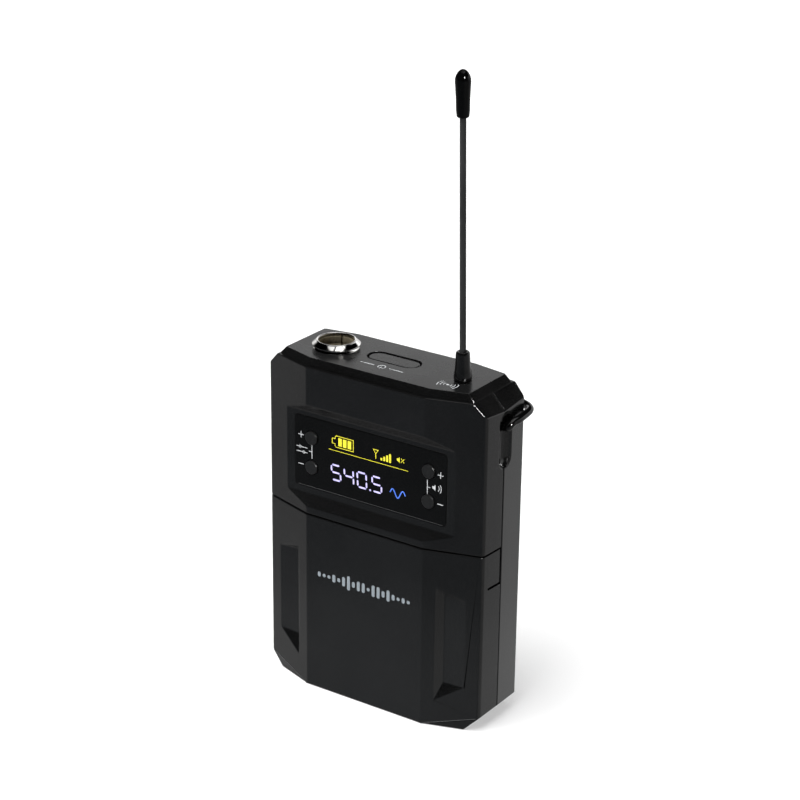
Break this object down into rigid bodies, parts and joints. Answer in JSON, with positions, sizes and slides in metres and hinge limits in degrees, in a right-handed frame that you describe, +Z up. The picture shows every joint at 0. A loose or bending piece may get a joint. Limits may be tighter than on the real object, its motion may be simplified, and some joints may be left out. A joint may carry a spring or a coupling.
{
  "type": "wireless_guitar_transmitter",
  "caption": "Bodypack wireless transmitter for an electric guitar: faceted black case, display with four keys, locking ring socket, whip antenna, hinged battery door, wire belt clip.",
  "frame": {"origin": "middle of the footprint, on the base the transmitter stands on", "axes": "+X to the right seen from the front, the way the display is read; +Y from the front with the display to the back with the belt clip; +Z up, from the battery door's hinge to the antenna"},
  "size_m": [0.0694, 0.0286, 0.1643],
  "materials": {
    "case_plastic": "fine satin texture, charcoal black",
    "plate_plastic": "matte, dark grey",
    "window_plastic": "polished, smoked black",
    "key_plastic": "smooth black",
    "inner_plastic": "plain moulded",
    "board": "green solder mask",
    "steel": "plain nickel-plated",
    "chrome": "bright",
    "gold": "gold flash",
    "antenna_rubber": "smooth black jacket",
    "cell_sleeve": "plain shrink sleeve",
    "clip_metal": "gloss black coating on spring wire"
  },
  "bodies": {
    "root": {"front_shell": "case_plastic", "rear_shell": "case_plastic", "top_plate": "plate_plastic", "display_window": "window_plastic", "display_module": "window_plastic", "key_switches": "inner_plastic", "main_board": "board", "radio_shield": "steel", "power_switch": "inner_plastic", "socket_barrel": "chrome", "socket_nut": "steel", "socket_insert": "inner_plastic", "socket_pins": "gold", "antenna_boot": "antenna_rubber", "antenna_rod": "antenna_rubber", "antenna_tip": "antenna_rubber", "antenna_ferrule": "gold", "door_hinge_pin": "steel", "battery_tray": "inner_plastic", "upper_cell": "cell_sleeve", "lower_cell": "cell_sleeve", "linking_contact": "steel", "positive_contact": "steel", "negative_contact": "steel", "case_screws": "steel"},
    "door": {"battery_door": "case_plastic"},
    "left_tab": {"latch_tab_left": "case_plastic"},
    "right_tab": {"latch_tab_right": "case_plastic"},
    "set_plus": {"set_plus_key": "key_plastic"},
    "set_minus": {"set_minus_key": "key_plastic"},
    "volume_plus": {"volume_plus_key": "key_plastic"},
    "volume_minus": {"volume_minus_key": "key_plastic"},
    "power": {"power_key": "key_plastic"},
    "clip": {"belt_clip": "clip_metal"}
  },
  "joints": [
    {"name": "door_hinge", "type": "hinge", "parent": "root", "child": "door", "pos_m": [0, -0.0046, 0.0021], "axis": [1, 0, 0], "range_deg": [0, 100]},
    {"name": "left_latch", "type": "hinge", "parent": "door", "child": "left_tab", "pos_m": [-0.03, -0.007, 0.0434], "axis": [0, 0, -1], "range_deg": [0, 8], "stiffness_Nm_per_rad": 0.15},
    {"name": "right_latch", "type": "hinge", "parent": "door", "child": "right_tab", "pos_m": [0.03, -0.007, 0.0434], "axis": [0, 0, 1], "range_deg": [0, 8], "stiffness_Nm_per_rad": 0.15},
    {"name": "set_plus_press", "type": "slide", "parent": "root", "child": "set_plus", "axis": [0, 1, 0], "range_m": [0, 0.00035], "stiffness_N_per_m": 5000},
    {"name": "set_minus_press", "type": "slide", "parent": "root", "child": "set_minus", "axis": [0, 1, 0], "range_m": [0, 0.00035], "stiffness_N_per_m": 5000},
    {"name": "volume_plus_press", "type": "slide", "parent": "root", "child": "volume_plus", "axis": [0, 1, 0], "range_m": [0, 0.00035], "stiffness_N_per_m": 5000},
    {"name": "volume_minus_press", "type": "slide", "parent": "root", "child": "volume_minus", "axis": [0, 1, 0], "range_m": [0, 0.00035], "stiffness_N_per_m": 5000},
    {"name": "power_press", "type": "slide", "parent": "root", "child": "power", "axis": [0, 0, -1], "range_m": [0, 0.0005], "stiffness_N_per_m": 4000},
    {"name": "clip_hinge", "type": "hinge", "parent": "root", "child": "clip", "pos_m": [0, -0.0011, 0.0789], "axis": [1, 0, 0], "range_deg": [0, 8], "stiffness_Nm_per_rad": 0.6}
  ]
}
